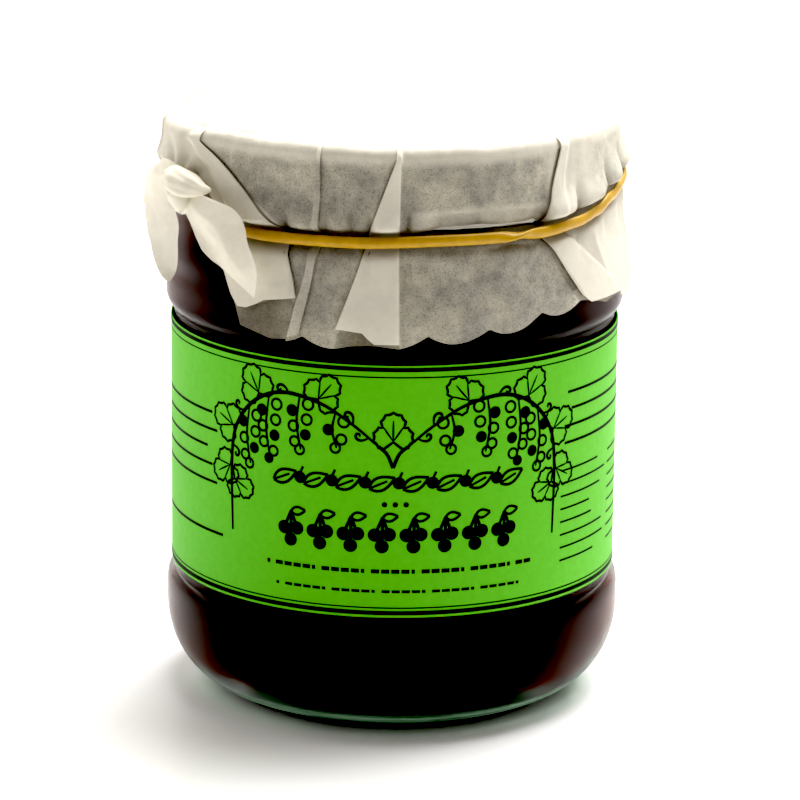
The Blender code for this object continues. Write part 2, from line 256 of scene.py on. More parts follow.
def glass_profile():
    """The outside of the glass from the middle of its foot to its mouth."""
    foot = rounded([(3.0, 3.0), (12.0, 2.6), (19.0, 1.5), (22.4, 0.4), (23.6, 0.0)], 4)
    foot = [(0.0, 3.0)] + foot + [(26.2, 0.0)]
    turns = [math.radians(t) for t in range(80, -1, -5)]
    heel = [(24.5 + 10.5 * math.cos(t), 13.0 - 12.6 * math.sin(t)) for t in turns]
    bead = rounded([(35.0, 14.6), (35.0, 16.3), (34.7, 17.6), (33.95, 18.4), (33.75, 19.2)], 4)
    panel = [(33.75, 19.6), (33.75, 40.0), (33.75, 59.0)]
    top = rounded(
        [(33.8, 59.7), (34.4, 60.5), (34.95, 61.6), (35.0, 63.4), (34.85, 65.2), (34.45, 66.0), (34.35, 67.2),
         (34.4, 68.6), (34.3, 69.8), (34.05, 71.2), (33.8, 72.6), (33.5, 74.2), (33.0, 75.4), (31.9, 76.4),
         (30.9, 77.3), (30.5, 79.0), (30.5, 87.0), (30.1, 88.0)], 4)
    rim = [(29.6, 88.3), (28.9, 88.3), (28.4, 88.0)]
    return foot + heel + bead + panel + top + rim


def hollow_profile(shrink=0.0):
    """The inside of the glass from its mouth to the middle of its floor, moved into the hollow by shrink."""
    wall = rounded(
        [(28.2, 87.4), (28.2, 82.0), (28.3, 76.8), (29.3, 74.6), (30.7, 71.8), (31.8, 68.8), (32.2, 66.4), (32.2, 63.4),
         (31.2, 60.2)], 4)
    low = rounded(
        [(31.0, 59.0), (31.0, 40.0), (31.0, 19.0), (32.3, 15.5), (32.4, 11.8), (31.5, 8.6), (29.6, 6.1), (26.8, 4.6),
         (23.0, 4.1), (12.0, 4.9), (3.0, 5.1)], 4)
    return [(max(r - shrink, 0.5), z + shrink) for r, z in wall + low] + [(0.0, 5.1 + shrink)]


def moulded_glass_group():
    """The slow waves and faint haze of moulded glass."""
    group = shader_group("moulded_glass", (("Height", "NodeSocketFloat"), ("Roughness", "NodeSocketFloat")))
    place_in = group.nodes.new("ShaderNodeTexCoord")
    waves = noise_at(group, place_in, Scale=45.0, Detail=1.0, Roughness=0.4)
    haze = noise_at(group, place_in, Scale=110.0, Detail=4.0, Roughness=0.6)
    out = group.nodes["Group Output"]
    group.links.new(waves, out.inputs["Height"])
    group.links.new(stretched(group, haze, 0.28, 0.32), out.inputs["Roughness"])
    return group


def foot_shader(tree, place_in, height):
    """The green stippled glass of the foot, streaked round the jar and dark underneath."""
    squash = node(tree, "ShaderNodeMapping")
    squash.inputs["Scale"].default_value = (1.0, 1.0, 22.0)
    tree.links.new(place_in.outputs["Object"], squash.inputs["Vector"])
    streaks = node(tree, "ShaderNodeTexNoise", Scale=75.0, Detail=3.0)
    tree.links.new(squash.outputs[0], streaks.inputs["Vector"])
    green = settings().foot_tint_and_glow
    tint = ramp(tree, streaks.outputs[0], [(0.36, dimmed(green, 0.3)), (0.6, green)])
    # Painted contact shadow: the lowest millimetre or so of the foot is made near black.
    lit = stretched(tree, height, 0.0, 1.0, FOOT_SHADOW_FROM, FOOT_SHADOW_TO)
    tint = mixed(tree, lit, (0.01, 0.012, 0.01), tint)
    glowing_frost = tree.nodes.new("ShaderNodeBsdfPrincipled")
    tree.links.new(tint, glowing_frost.inputs["Base Color"])
    # Painted light: the foot glows faintly in its own tint, in place of light shining through the thick base.
    tree.links.new(tint, glowing_frost.inputs["Emission Color"])
    glowing_frost.inputs["Emission Strength"].default_value = 0.05
    glowing_frost.inputs["Roughness"].default_value = 0.3
    return glowing_frost


def glass_material():
    material, shader = new_material("clear_glass")
    tree = material.node_tree
    shader.inputs["Base Color"].default_value = (*settings().glass_tint, 1.0)
    shader.inputs["Transmission Weight"].default_value = 1.0
    shader.inputs["IOR"].default_value = settings().glass_ior
    shader.inputs["Specular Tint"].default_value = (*settings().glass_sheen, 1.0)
    used = use_group(tree, moulded_glass_group())
    bumped(tree, shader, used.outputs["Height"], 0.02, 0.0004)
    tree.links.new(used.outputs["Roughness"], shader.inputs["Roughness"])
    place_in = tree.nodes.new("ShaderNodeTexCoord")
    split = tree.nodes.new("ShaderNodeSeparateXYZ")
    tree.links.new(place_in.outputs["Object"], split.inputs[0])
    height = split.outputs["Z"]
    # Near the floor the clear glass gives way to an opaque green foot: the real green stippled glass, painted pale and
    # glowing for the light through the base.
    share = stretched(tree, height, 0.95, 0.0, FOOT_FROM, FOOT_TO)
    blended_surface(tree, share, shader, foot_shader(tree, place_in, height))
    return material


def jam_material():
    material, shader = new_material("dark_jam")
    shader.inputs["Base Color"].default_value = (*settings().jam_deep, 1.0)
    shader.inputs["Roughness"].default_value = 0.4
    shader.inputs["Specular IOR Level"].default_value = 0.05
    shader.inputs["Sheen Weight"].default_value = 0.45
    shader.inputs["Sheen Roughness"].default_value = 0.4
    shader.inputs["Sheen Tint"].default_value = (*settings().jam_edge, 1.0)
    return material


def make_glass():
    jar = turned("glass_jar", glass_profile() + hollow_profile())
    place(jar, glass_material(), "clear_glass", "jar")


def make_jam():
    hollow = [p for p in hollow_profile(-0.04) if p[1] < JAM_TOP]
    top = [(0.0, 79.5), (16.0, 79.2), (26.0, 79.1), (27.6, 79.3), (28.22, 79.7)]
    jam = turned("jam_fill", top + hollow)
    place(jam, jam_material(), "dark_jam", "jam")


def make_lid():
    """The hidden lid and liner keep the part's shapes and get their own finishes."""
    finishes = (("lid", (0.42, 0.41, 0.37), 0.3, 0.9), ("lid_liner", (0.7, 0.68, 0.62), 0.6, 0.0))
    for name, colour, rough, metal in finishes:
        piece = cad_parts[name]
        material, shader = new_material(name + "_finish")
        tree = material.node_tree
        grain = node(tree, "ShaderNodeTexNoise", Scale=300.0, Detail=3.0)
        tree.links.new(stretched(tree, grain.outputs[0], rough - 0.08, rough + 0.1), shader.inputs["Roughness"])
        shader.inputs["Base Color"].default_value = (*colour, 1.0)
        shader.inputs["Metallic"].default_value = metal
        piece.data.materials.clear()
        piece.data.materials.append(material)


def label_material():
    material, shader = new_material("green_paper")
    tree = material.node_tree
    fibre = noise_at(tree, tree.nodes.new("ShaderNodeTexCoord"), Scale=900.0, Detail=4.0, Roughness=0.6)
    green = settings().label_green
    tree.links.new(ramp(tree, fibre, [(0.3, dimmed(green, 0.9)), (0.7, green)]), shader.inputs["Base Color"])
    shader.inputs["Roughness"].default_value = 0.6
    shader.inputs["Specular IOR Level"].default_value = 0.2
    bumped(tree, shader, fibre, 0.1, 0.00005)
    return material


def make_label():
    """The label as a closed thin band, open at the back."""
    steps = 200
    section = (
        (LABEL_OUT - 0.2, LABEL_LOW + 0.05), (LABEL_OUT, LABEL_LOW), (LABEL_OUT, 32.0), (LABEL_OUT, 45.0),
        (LABEL_OUT, LABEL_HIGH), (LABEL_OUT - 0.2, LABEL_HIGH - 0.05),
    )
    angles = [-LABEL_HALF_TURN + 2 * LABEL_HALF_TURN * s / steps for s in range(steps + 1)]
    rows = [[around(angle, r, z) for angle in angles] for r, z in section]
    rows.append(rows[0])
    points, faces = grid(rows, False)
    label = mesh_object("label_sheet", points, faces, 30.0)
    place(label, label_material(), "green_paper", "label")


class Print:
    """Flat shapes in label coordinates, in mm: u runs right from the front's middle and v is the height."""

    def __init__(self):
        self.points = []
        self.faces = []

    def polygon(self, outline):
        start = len(self.points)
        self.points += outline
        self.faces.append(tuple(range(start, start + len(outline))))

    def stroke(self, line, width, taper=0.0, step=0.5):
        line = [np.array(p, float) for p in line]
        fine = []
        for a, b in zip(line, line[1:]):
            parts = max(1, int(np.hypot(*(b - a)) / step))
            fine += [a + (b - a) * k / parts for k in range(parts)]
        fine.append(line[-1])
        start = len(self.points)
        last = len(fine) - 1
        for i, p in enumerate(fine):
            along = fine[min(i + 1, last)] - fine[max(i - 1, 0)]
            length = np.hypot(*along) or 1.0
            across = np.array((-along[1], along[0])) / length
            end = min(i, last - i) / max(last, 1)
            half = width / 2 * (1.0 - taper + taper * min(1.0, 3.0 * end))
            self.points += [tuple(p + across * half), tuple(p - across * half)]
        for i in range(last):
            k = start + 2 * i
            self.faces.append((k, k + 1, k + 3, k + 2))

    def ring(self, centre, radius, width):
        u, v = centre
        turns = [math.tau * k / 20 for k in range(21)]
        self.stroke([(u + radius * math.cos(t), v + radius * math.sin(t)) for t in turns], width)

    def disc(self, centre, radius, sides=16):
        u, v = centre
        turns = [math.tau * k / sides for k in range(sides)]
        self.polygon([(u + radius * math.cos(t), v + radius * math.sin(t)) for t in turns])

    def leaf(self, base, direction, length, width, line=0.42, vein=True):
        """A pointed leaf in outline with a vein."""
        turn = math.radians(direction)
        ax = np.array((math.cos(turn), math.sin(turn)))
        side = np.array((-ax[1], ax[0]))
        base = np.array(base, float)
        for s in (1, -1):
            shares = np.linspace(0, 1, 10)
            self.stroke([base + ax * length * t + side * s * width / 2 * math.sin(math.pi * t**0.8) for t in shares], line)
        if vein:
            self.stroke([base, base + ax * length * 0.7], line * 0.8)

    def currant_leaf(self, base, direction, size, line=0.4):
        """A leaf of three toothed lobes in outline with its three veins."""
        turn = math.radians(direction)
        ax = np.array((math.cos(turn), math.sin(turn)))
        side = np.array((-ax[1], ax[0]))
        base = np.array(base, float)
        edge = []
        for k in range(41):
            t = math.radians(-150.0 + 300.0 * k / 40)
            reach = size * (0.4 + 0.26 * abs(math.cos(1.5 * t)) ** 0.7 + 0.03 * math.cos(16.0 * t))
            edge.append(base + ax * (size * 0.38 + reach * math.cos(t)) + side * reach * math.sin(t))
        self.stroke(edge + [base + ax * size * 0.1] + edge[:1], line)
        for t in (0.0, 0.95, -0.95):
            tip = ax * (size * 0.38 + size * 0.42 * math.cos(t)) + side * size * 0.42 * math.sin(t)
            self.stroke([base + ax * size * 0.12, base + tip], line * 0.7, 0.5)

    def tendril(self, start, direction, size, hand, line=0.46):
        """A curl that winds inwards from its start."""
        turn = math.radians(direction)
        here, points = np.array(start, float), [tuple(start)]
        for k in range(46):
            here = here + size * 0.085 * np.array((math.cos(turn), math.sin(turn))) * (1.0 - 0.012 * k)
            turn += hand * 0.012 * (1.0 + 0.5 * k) * 0.95
            points.append(tuple(here))
        self.stroke(points, line, 0.4)


def currant_sprig(ink, sign):
    """One side of the label's ornament: an arching stem with lobed leaves and strings of berries."""
    def at(u, v):
        return (sign * u, v)

    def facing(direction):
        return direction if sign > 0 else 180 - direction

    stem = ((2.2, 46.2), (6.0, 49.3), (11.0, 52.2), (17.0, 53.2), (22.0, 51.2), (25.6, 46.8), (26.6, 41.0), (26.4, 30.4))
    ink.stroke(rounded([at(*p) for p in stem], 6), 0.62, 0.4)
    leaves = (
        ((11.6, 52.4), 130, 4.6), ((21.0, 52.0), 62, 4.8), ((25.8, 46.4), 24, 4.8), ((26.5, 40.6), -28, 4.4),
        ((26.4, 38.6), 205, 4.2),
    )
    for base, direction, size in leaves:
        ink.currant_leaf(at(*base), facing(direction), size)
    curls = (
        ((6.0, 49.3), 100, 1.3, -1), ((16.0, 53.2), 60, 1.3, -1), ((3.6, 47.4), -30, 1.25, 1),
        ((24.0, 49.4), -5, 1.2, 1), ((26.5, 43.6), 190, 1.2, 1),
    )
    for start, direction, size, hand in curls:
        ink.tendril(at(*start), facing(direction), size, hand * sign)
    for u, v, drop, count in ((8.6, 51.0, 5.4, 4), (14.2, 53.0, 8.2, 7), (19.4, 52.4, 9.6, 8), (23.0, 50.2, 8.8, 7)):
        ink.stroke(rounded([at(u, v), at(u + 0.5, v - drop * 0.5), at(u - 0.2, v - drop)], 4), 0.4, 0.3)
        for k in range(count):
            share = (k + 1) / count
            offset = 1.2 * (1.2 - 0.6 * share) * (1 if k % 2 else -1)
            centre = at(u + offset * (0.0 if k == count - 1 else 1.0), v - drop * share)
            if k % 3 == 1:
                ink.disc(centre, 0.98 - 0.15 * share)
            else:
                ink.ring(centre, 0.85 - 0.12 * share, 0.38)


def draw_borders_and_rules(ink):
    """Two border lines above and below, and plain rules of uneven length at both sides."""
    half = 100.0
    borders = ((LABEL_HIGH - 0.62, 0.62), (LABEL_HIGH - 1.78, 0.2), (LABEL_LOW + 0.72, 0.66), (LABEL_LOW + 1.5, 0.2))
    for v, width in borders:
        ink.stroke([(-half, v), (half, v)], width, 0.0, 1.0)
    for row in range(5):
        v = 47.6 - 2.7 * row
        ink.stroke([(-52.0, v), (-31.2 + 1.4 * math.sin(row * 2.1), v)], 0.42)
    ink.stroke([(-50.0, 29.0), (-28.6, 29.0)], 0.45)
    for row in range(4):
        v = 51.6 - 2.6 * row
        ink.stroke([(29.4 + 1.0 * math.sin(row * 1.9), v), (52.0, v)], 0.42)
    for row in range(8):
        v = 39.6 - 2.0 * row
        ink.stroke([(28.2, v), (38.5 + 3.0 * math.sin(row * 1.4), v)], 0.3)
        ink.stroke([(43.0, v), (50.0, v)], 0.3)


def draw_ornament(ink):
    """The two sprigs, a row of leaves and berries, a row of berry clusters and two dashed rows."""
    for sign in (1, -1):
        currant_sprig(ink, sign)
        ink.stroke(rounded([(sign * 2.2, 46.2), (sign * 0.9, 45.0), (0.0, 42.9)], 5), 0.55)
    ink.currant_leaf((0.0, 46.4), 90, 4.6, 0.44)
    for k, u in enumerate(np.linspace(-16.6, 18.4, 15)):
        if k % 2:
            ink.disc((u, 40.6), 0.95)
            ink.stroke([(u, 41.2), (u + 0.5, 42.3)], 0.4)
        else:
            ink.leaf((u - 1.9, 39.7), 24, 4.2, 2.0, 0.46)
    for u in (-1.2, 0.4, 2.0):
        ink.disc((u, 37.3), 0.42, 10)
    for u in np.linspace(-15.6, 17.2, 8):
        for du, dv in ((-1.05, 0.0), (1.05, 0.1), (0.0, -1.75)):
            ink.disc((u + du, 32.6 + dv), 1.05)
            ink.stroke([(u + 0.1, 35.3), (u + du, 32.6 + dv)], 0.5)
        ink.leaf((u + 0.1, 35.2), 8, 2.3, 1.2, 0.42, False)
    for v, start, end, width in ((27.0, -19.6, 21.6, 0.62), (23.9, -18.0, 19.6, 0.44)):
        for k, u in enumerate(np.arange(start, end, 1.5)):
            ink.stroke([(u, v), (u + (1.2 if k % 5 else 0.5), v)], width)


def make_print():
    ink = Print()
    draw_borders_and_rules(ink)
    draw_ornament(ink)
    radius = LABEL_OUT + 0.03
    points = [around(math.degrees(u / LABEL_OUT), radius, v) for u, v in ink.points]
    printed = mesh_object("label_print", points, ink.faces)
    material, shader = new_material("printing_ink")
    tree = material.node_tree
    grain = node(tree, "ShaderNodeTexNoise", Scale=1500.0, Detail=2.0)
    colour = ramp(tree, grain.outputs[0], [(0.3, (0.003, 0.005, 0.003)), (0.75, (0.012, 0.02, 0.01))])
    tree.links.new(colour, shader.inputs["Base Color"])
    shader.inputs["Roughness"].default_value = 0.6
    shader.inputs["Specular IOR Level"].default_value = 0.1
    place(printed, material, "green_paper")


def tissue_group():
    """Thin paper: pale where it lies in layers, grey and blotched where one layer shows the dark below it."""
    sockets = (("Color", "NodeSocketColor"), ("Roughness", "NodeSocketFloat"), ("Height", "NodeSocketFloat"))
    group = shader_group("tissue", sockets)
    place_in = group.nodes.new("ShaderNodeTexCoord")
    blotch = noise_at(group, place_in, Scale=520.0, Detail=5.0, Roughness=0.62)
    cloud = noise_at(group, place_in, Scale=150.0, Detail=3.0, Roughness=0.55)
    speck = noise_at(group, place_in, Scale=4200.0, Detail=1.0)
    one, folded = settings().paper_thin, settings().paper_thick
    thin = ramp(group, blotch, [(0.3, dimmed(one, 0.74)), (0.72, dimmed(one, 1.16))])
    shade = ramp(group, cloud, [(0.34, (0.76, 0.76, 0.78)), (0.62, (1.14, 1.13, 1.08))])
    specks = ramp(group, speck, [(0.34, (0.7, 0.7, 0.72)), (0.48, (1.0, 1.0, 1.0))])
    thin = mixed(group, 1.0, mixed(group, 1.0, thin, shade, "MULTIPLY"), specks, "MULTIPLY")
    thick = ramp(group, blotch, [(0.3, dimmed(folded, 0.93)), (0.7, folded)])
    layers = node(group, "ShaderNodeAttribute", attribute_name="layers")
    # The "tuck" values are painted shade: they darken the paper in the recesses beside the pleats and along the band.
    tuck = node(group, "ShaderNodeAttribute", attribute_name="tuck")
    dim = ramp(group, tuck.outputs["Fac"], [(0.0, (1.0, 1.0, 1.0)), (1.0, (0.34, 0.31, 0.26))])
    colour = mixed(group, 1.0, mixed(group, layers.outputs["Fac"], thin, thick), dim, "MULTIPLY")
    warp = node(group, "ShaderNodeTexNoise", Scale=90.0, Detail=3.0)
    group.links.new(place_in.outputs["Object"], warp.inputs["Vector"])
    moved = node(group, "ShaderNodeVectorMath", operation="SCALE")
    moved.inputs["Scale"].default_value = 0.02
    group.links.new(warp.outputs["Color"], moved.inputs[0])
    summed = node(group, "ShaderNodeVectorMath", operation="ADD")
    group.links.new(place_in.outputs["Object"], summed.inputs[0])
    group.links.new(moved.outputs[0], summed.inputs[1])
    crinkle = node(group, "ShaderNodeTexVoronoi", feature="DISTANCE_TO_EDGE", Scale=120.0)
    group.links.new(summed.outputs[0], crinkle.inputs["Vector"])
    total = node(group, "ShaderNodeMath", operation="MULTIPLY_ADD")
    group.links.new(crinkle.outputs["Distance"], total.inputs[0])
    total.inputs[1].default_value = 1.2
    group.links.new(blotch, total.inputs[2])
    out = group.nodes["Group Output"]
    group.links.new(colour, out.inputs["Color"])
    group.links.new(stretched(group, blotch, 0.6, 0.85), out.inputs["Roughness"])
    group.links.new(total.outputs[0], out.inputs["Height"])
    return group


def paper_material():
    material, shader = new_material("tissue_paper")
    tree = material.node_tree
    used = use_group(tree, tissue_group())
    tree.links.new(used.outputs["Color"], shader.inputs["Base Color"])
    tree.links.new(used.outputs["Roughness"], shader.inputs["Roughness"])
    bumped(tree, shader, used.outputs["Height"], 0.35, 0.0003)
    through = tree.nodes.new("ShaderNodeBsdfTranslucent")
    tree.links.new(used.outputs["Color"], through.inputs["Color"])
    blended_surface(tree, 0.22, shader, through)
    return material


# A pleat's edge at rim, band and hem, its lap at the three, the width over which its upper layer falls off again, how
# strongly it shows its fold and its painted shade, and the side it opens to. A column is one place round the cover at
# one level: its angle, its layer from 0 to 2, its folded look, its pleat or None, and how much painted shade darkens
# it.
Pleat = namedtuple("Pleat", "rim band hem rim_lap band_lap hem_lap soft look side")
Column = namedtuple("Column", "angle layer mark pleat dark")
PLEATS = (
    Pleat(-53.5, -27.9, -24.0, 3.0, 11.5, 25.0, 2.0, 1.0, -1),
    Pleat(-19.0, -18.9, -22.6, 0.2, 1.4, 2.6, 0.8, 0.3, -1),
    Pleat(0.4, -6.8, -13.4, 0.8, 7.6, 14.3, 0.5, 1.0, 1),
    Pleat(45.5, 39.3, 50.5, 2.2, 5.2, 17.0, 1.6, 1.0, 1),
    Pleat(128.0, 123.0, 127.0, 2.0, 5.0, 9.0, 1.5, 1.0, -1),
    Pleat(141.0, 140.0, 140.0, 0.5, 2.0, 3.0, 1.0, 0.5, -1),
    Pleat(153.0, 155.0, 159.0, 2.0, 6.0, 11.0, 1.5, 1.0, 1),
    Pleat(192.0, 187.0, 188.0, 2.0, 6.0, 9.0, 1.5, 1.0, -1),
    Pleat(206.0, 203.0, 203.0, 0.5, 2.0, 3.0, 1.0, 0.5, -1),
    Pleat(216.0, 219.0, 223.0, 2.0, 6.0, 10.0, 1.5, 1.0, 1),
    Pleat(258.0, 257.0, 257.0, 1.0, 3.0, 3.0, 1.2, 0.7, 1),
    Pleat(281.0, 283.0, 284.0, 1.0, 3.0, 3.0, 1.2, 0.7, 1),
)
# Height of the band's middle, at angles round the jar.
BAND_PATH = (
    (-180.0, 80.2), (-130.0, 79.9), (-95.0, 80.2), (-75.0, 80.6), (-58.0, 80.2), (-48.0, 77.9), (-38.0, 76.5),
    (-11.0, 76.7), (13.0, 77.1), (39.0, 77.0), (51.0, 77.5), (60.0, 78.3), (68.0, 79.5), (80.0, 80.5), (100.0, 80.8),
    (140.0, 80.5), (180.0, 80.2),
)
# Angles at which the paper is pinched under the band; it billows out between them.
PINCHES = (
    -172, -157, -141, -128, -116, -103, -92, -79, -68, -55, -27.9, -17.6, -10.9, -6.4, 3, 21.4, 39.6, 52, 66, 78, 97,
    109, 123, 140, 155, 170, 188,
)
# The stretch of the hem that is drawn up to the band, where the paper is gathered into the knot.
DRAWN_UP = (-116.0, -38.0)
# Heights of the hem's points between scallops, at angles round the jar.
HEM_PATH = (
    (-180, 64.0), (-116, 64.0), (-52, 63.9), (-37, 63.4), (-21, 62.6), (-7, 62.6), (10, 63.3), (23, 63.9), (37, 65.3),
    (51, 66.6), (60, 65.8), (72, 65.2), (95, 64.4), (180, 64.0),
)
# Straight creases in the paper: angle and height of both ends, rise in mm and width in mm.
CREASES = (
    (-21.6, 85.5, -17.8, 78.3, 0.45, 0.7),
    (-17.8, 81.2, -17.6, 77.6, 0.35, 0.4),
    (-12.5, 80.0, -10.9, 77.6, 0.4, 0.5),
    (21.3, 81.6, 21.4, 78.0, 0.75, 0.7),
    (12.0, 74.8, 16.0, 70.5, 0.3, 0.5),
    (36.0, 75.0, 33.5, 72.5, 0.35, 0.4),
    (27.0, 74.5, 30.0, 64.5, 0.25, 1.0),
    (-24.5, 68.0, -26.5, 62.5, 0.3, 0.5),
    (58.0, 74.8, 64.0, 67.0, 0.5, 1.0),
    (66.0, 78.0, 62.0, 86.0, 0.35, 0.7),
    (5.0, 88.0, 14.0, 84.5, 0.25, 0.8),
    (-38.0, 89.0, -27.0, 84.0, 0.25, 0.9),
    (112.0, 75.0, 116.0, 64.5, 0.5, 0.8),
    (170.0, 76.0, 173.0, 64.5, 0.5, 0.8),
    (-150.0, 75.0, -147.0, 64.5, 0.5, 0.8),
    (-130.0, 88.0, -127.0, 81.0, 0.45, 0.8),
    (165.0, 88.5, 168.0, 82.0, 0.45, 0.8),
    (110.0, 88.0, 108.0, 82.5, 0.45, 0.8),
)


def along_path(path, angle):
    """The value at that angle, eased between the path's points."""
    turn = signed(angle)
    for (first, low), (second, high) in zip(path, path[1:]):
        if first <= turn <= second:
            return low + (high - low) * smooth((turn - first) / (second - first))
    return path[0][1]


def band_z(angle):
    return along_path(BAND_PATH, angle)


def pleat_at(pleat, level):
    """(edge, lap) of a pleat at a level: 1 is the rim, 2 the band and 3 the hem."""
    if level <= 1.0:
        return pleat.rim, pleat.rim_lap * smooth((level - 0.94) / 0.06) + 0.02
    above = level <= 2.0
    part = level - (1.0 if above else 2.0)
    edges = (pleat.rim, pleat.band) if above else (pleat.band, pleat.hem)
    laps = (pleat.rim_lap, pleat.band_lap) if above else (pleat.band_lap, pleat.hem_lap)
    return edges[0] + (edges[1] - edges[0]) * part, laps[0] + (laps[1] - laps[0]) * part


def pleat_section(lap, soft):
    """Across one pleat, from its edge: distance, layer, folded look and darkness of each column."""
    path = [(-1.0, 0.0, 0.0, 0.0), (-0.45, 0.0, 0.0, 0.5)]
    path += [(lap * t, 0.0, 0.0, 1.0) for t in (0.25, 0.6)]
    path += [(lap, 0.0, 1.0, 1.0), (lap + 0.2, 0.5, 1.0, 1.0), (lap, 1.0, 1.0, 1.0)]
    path += [(lap * t, 1.0, 1.0, 1.0) for t in (0.75, 0.5, 0.25)]
    path += [(0.0, 1.0, 1.0, 0.8), (-0.25, 1.5, 1.0, 0.1), (0.0, 2.0, 1.0, 0.0)]
    path += [(lap * t, 2.0, 1.0, 0.0) for t in (0.06, 0.13, 0.22, 0.32, 0.42, 0.52, 0.62, 0.72, 0.82, 0.92)]
    path += [(lap, 1.95, 1.0, 0.0), (lap + soft * 0.3, 1.3, 0.5, 0.0), (lap + soft * 0.65, 0.5, 0.1, 0.0)]
    return path + [(lap + soft, 0.0, 0.0, 0.0)]


def cover_columns(level):
    """The columns round the cover at a level: every pleat's section, and even steps between them."""
    sections = []
    for index, pleat in enumerate(PLEATS):
        edge, lap = pleat_at(pleat, level)
        section = [
            Column(edge + pleat.side * x, layer, mark * pleat.look, index if layer > 0.0 else None, dark * pleat.look)
            for x, layer, mark, dark in pleat_section(lap, pleat.soft)
        ]
        sections.append(section if pleat.side > 0 else section[::-1])
    columns = []
    for i, section in enumerate(sections):
        columns += section
        end = section[-1].angle
        start = sections[(i + 1) % len(sections)][0].angle + (360.0 if i + 1 == len(sections) else 0.0)
        for k in range(1, GAPS[i] + 1):
            columns.append(Column(end + (start - end) * k / (GAPS[i] + 1), 0.0, 0.0, None, 0.0))
    return columns


def gap_counts():
    """How many columns lie between each pleat and the next."""
    counts = []
    for i, pleat in enumerate(PLEATS):
        following = PLEATS[(i + 1) % len(PLEATS)]
        counts.append(max(4, round(((following.band - pleat.band) % 360.0) / 0.7)))
    return counts


GAPS = gap_counts()


def hem_z(angle, layer, pleat):
    """Height of the scalloped hem there, for the lower or the upper layer."""
    turn = signed(angle)
    low = along_path(HEM_PATH, angle) - 1.5 * abs(math.sin(math.pi * (turn + 7.0) / 14.8)) ** 0.8
    if pleat == 0 and layer >= 1.0:
        low = 65.2 + 3.1 * smooth((turn + 44.0) / 20.0) - 0.4 * abs(math.sin(math.pi * (turn + 22.0) / 10.0))
    elif pleat == 2 and layer >= 1.0:
        low = 64.1 - 0.3 * smooth((turn + 13.0) / 6.0) - 1.6 * smooth((turn + 6.6) / 1.2)
    elif pleat == 3 and layer >= 1.0:
        low = 66.6 - 1.2 * smooth((turn - 50.0) / 3.0)
    elif pleat is not None and layer >= 1.0:
        low += 0.7
    first, last = DRAWN_UP
    if first <= turn <= last:
        rise = band_z(angle) - 2.1 - low
        low += rise * min(smooth((turn - first) / 12.0), smooth((last - turn) / 13.5))
    return low


def crease(angle, z):
    """How far the straight creases raise the paper there."""
    total = 0.0
    for first, high, second, low, rise, width in CREASES:
        away = signed(angle - (first + second) / 2)
        if abs(away) > 14.0:
            continue
        a = np.array((first * 0.6, high))
        b = np.array((second * 0.6, low))
        p = np.array((((first + second) / 2 + away) * 0.6, z))
        share = min(1.0, max(0.0, float(np.dot(p - a, b - a) / np.dot(b - a, b - a))))
        gap = float(np.hypot(*(p - a - (b - a) * share)))
        total += rise * math.exp(-gap / width) * (0.35 + 0.65 * math.sin(math.pi * min(1.0, share + 0.25)))
    return total


def crumple(angle, z, amount):
    """How far the crumples move the paper outwards there."""
    p = around(angle, 34.0, z) * 1000.0
    broad = noise.noise(p * 0.1)
    ridged = 0.5 - abs(noise.noise(p * 0.17 + Vector((7.0, 3.0, 1.0))))
    fine = 0.5 - abs(noise.noise(p * 0.5 + Vector((1.0, 9.0, 4.0))))
    return amount * (0.5 * broad + 0.4 * ridged + 0.12 * fine)


def billow(angle):
    """0 where the paper is pinched under the band, up to 1 midway between two pinches."""
    turn = angle % 360.0
    stops = sorted(p % 360.0 for p in PINCHES)
    stops = [stops[-1] - 360.0] + stops + [stops[0] + 360.0]
    for first, second in zip(stops, stops[1:]):
        if first <= turn <= second:
            width = second - first
            arch = max(0.0, math.sin(math.pi * (turn - first) / width))
            return arch**0.55 * min(1.0, width / 12.0) ** 0.8
    return 0.0


def knot_pull(angle, z):
    """How far the paper bulges at the knot, with the folds that run to it."""
    turn = math.exp(-((signed(angle + 65.0) / 18.0) ** 2))
    bulge = 3.2 * turn * smooth((z - band_z(angle) - 1.3) / 3.5)
    dx, dz = signed(angle + 59.0) * 0.62, z - 82.0
    away = math.hypot(dx, dz)
    near = math.exp(-(((away - 3.5) / 4.5) ** 2)) * smooth((z - 80.5) / 2.0)
    return bulge + 0.32 * math.sin(math.atan2(dz, dx) * 8.0) * near


def cover_rows():
    """The rings of the cover from its middle to its hem: kind, share within the kind, and level for the pleats."""
    rows = [("top", r, 0.02 + 0.95 * r / 33.0) for r in (1.0, 5.0, 10.0, 15.0, 19.0, 23.0, 26.0, 28.5, 30.3, 31.6)]
    rows += [("rim", 90.0 * k / 6, 0.95 + 0.05 * k / 6) for k in range(1, 7)]
    rows += [("wall", k / 30, 1.0 + 0.95 * k / 30) for k in range(1, 31)]
    rows += [("band", k / 2, 2.0 + 0.025 * k) for k in range(-2, 3)]
    rows += [("skirt", k / 24, 2.05 + 0.95 * k / 24) for k in range(1, 25)]
    return rows


def top_point(share, column):
    angle = column.angle
    p = around(angle, share, 0.0) * 1000.0
    dent = 0.3 * noise.noise(p * 0.16) - 0.5 * (1.0 - smooth((share - 18.0) / 8.0))
    wide = share + knot_pull(angle, 90.0) * smooth((share - 27.0) / 5.0)
    return around(angle, wide, COVER_TOP - 0.25 + dent)


def rim_point(share, column):
    angle, turn = column.angle, math.radians(share)
    r = COVER_R - RIM + (RIM + column.layer * LAYER * math.sin(turn)) * math.sin(turn)
    z = COVER_TOP - 0.25 - RIM + RIM * math.cos(turn)
    z += 0.3 * noise.noise(around(angle, 31.4, 0.0) * 160.0) * math.cos(turn)
    r += (crumple(angle, z, settings().crumple) + crease(angle, z)) * math.sin(turn)
    return around(angle, r + knot_pull(angle, 90.0), z)


